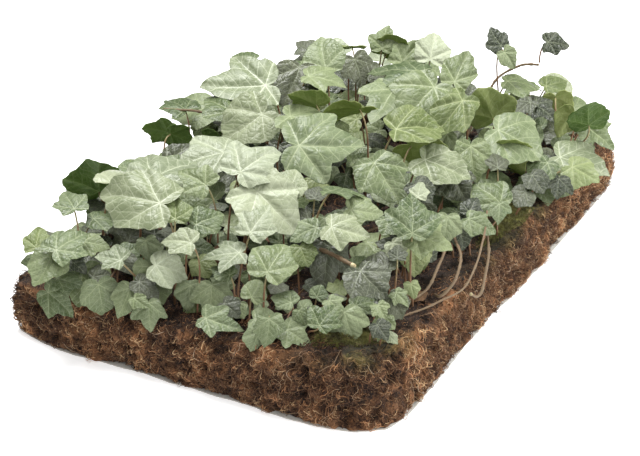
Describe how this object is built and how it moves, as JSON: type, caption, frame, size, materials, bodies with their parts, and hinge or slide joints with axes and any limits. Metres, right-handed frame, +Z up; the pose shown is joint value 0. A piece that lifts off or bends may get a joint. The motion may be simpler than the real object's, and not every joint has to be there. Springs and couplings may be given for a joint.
{
  "type": "pre-grown ivy mat",
  "caption": "Rectangular fibrous coir mat, rooted through and covered with ivy: lobed leaves on upright petioles, bare woody runners and moss. It lies flat as instant ground cover.",
  "frame": {"origin": "middle of the flat underside of the mat", "axes": "+Z up out of the mat, +X to the right along the short front edge, +Y along the long edge away from the front"},
  "size_m": [0.4693, 0.651, 0.1892],
  "materials": {
    "coir_root_mat": "matt brown coir fibre, rooted through, coarse and hairy",
    "fleece": "thin matt off-white fleece",
    "moss": "dull olive moss",
    "stem_bark": "satin tan to brown young bark",
    "leaf_pale": "pale grey-green leaf with a waxy sheen and pale veins",
    "leaf_grey_green": "grey-green leathery leaf with pale veins",
    "leaf_dark": "dark green leaf, glossy",
    "leaf_young": "yellow-green young leaf"
  },
  "bodies": {
    "root": {"root_mat": "coir_root_mat", "backing_fleece": "fleece", "moss_near_corner": "moss", "moss_right_edge": "moss", "runner_right_1": "stem_bark", "runner_right_2": "stem_bark", "runner_right_3": "stem_bark", "runner_right_4": "stem_bark", "cut_stub": "stem_bark", "runner_left": "stem_bark", "shoot_stem": "stem_bark", "vine_1": "stem_bark", "vine_2": "stem_bark", "leaf_front_1": "leaf_grey_green", "leaf_front_2": "leaf_pale", "leaf_front_3": "leaf_grey_green", "leaf_front_4": "leaf_grey_green", "leaf_front_5": "leaf_grey_green", "leaf_front_6": "leaf_grey_green", "leaf_front_7": "leaf_grey_green", "leaf_front_8": "leaf_grey_green", "leaf_front_9": "leaf_grey_green", "leaf_front_10": "leaf_grey_green", "leaf_left_1": "leaf_young", "leaf_left_2": "leaf_grey_green", "leaf_left_3": "leaf_dark", "leaf_left_4": "leaf_pale", "leaf_left_5": "leaf_grey_green", "leaf_left_6": "leaf_dark", "leaf_centre_1": "leaf_pale", "leaf_centre_2": "leaf_grey_green", "leaf_centre_3": "leaf_pale", "leaf_centre_4": "leaf_grey_green", "leaf_centre_5": "leaf_pale", "leaf_centre_6": "leaf_pale", "leaf_centre_7": "leaf_pale", "leaf_centre_8": "leaf_grey_green", "leaf_centre_9": "leaf_pale", "leaf_back_1": "leaf_pale", "leaf_back_2": "leaf_dark", "leaf_back_3": "leaf_grey_green", "leaf_back_4": "leaf_grey_green", "leaf_back_5": "leaf_pale", "leaf_back_6": "leaf_grey_green", "leaf_back_7": "leaf_grey_green", "leaf_back_8": "leaf_young", "leaf_back_9": "leaf_young", "leaf_back_10": "leaf_young", "leaf_back_11": "leaf_grey_green", "leaf_right_1": "leaf_dark", "leaf_right_2": "leaf_grey_green", "leaf_right_3": "leaf_pale", "leaf_right_4": "leaf_grey_green", "leaf_right_5": "leaf_young", "leaf_right_6": "leaf_grey_green", "leaf_right_7": "leaf_pale", "leaf_right_8": "leaf_dark", "leaf_shoot_1": "leaf_dark", "leaf_shoot_2": "leaf_dark"}
  },
  "joints": []
}
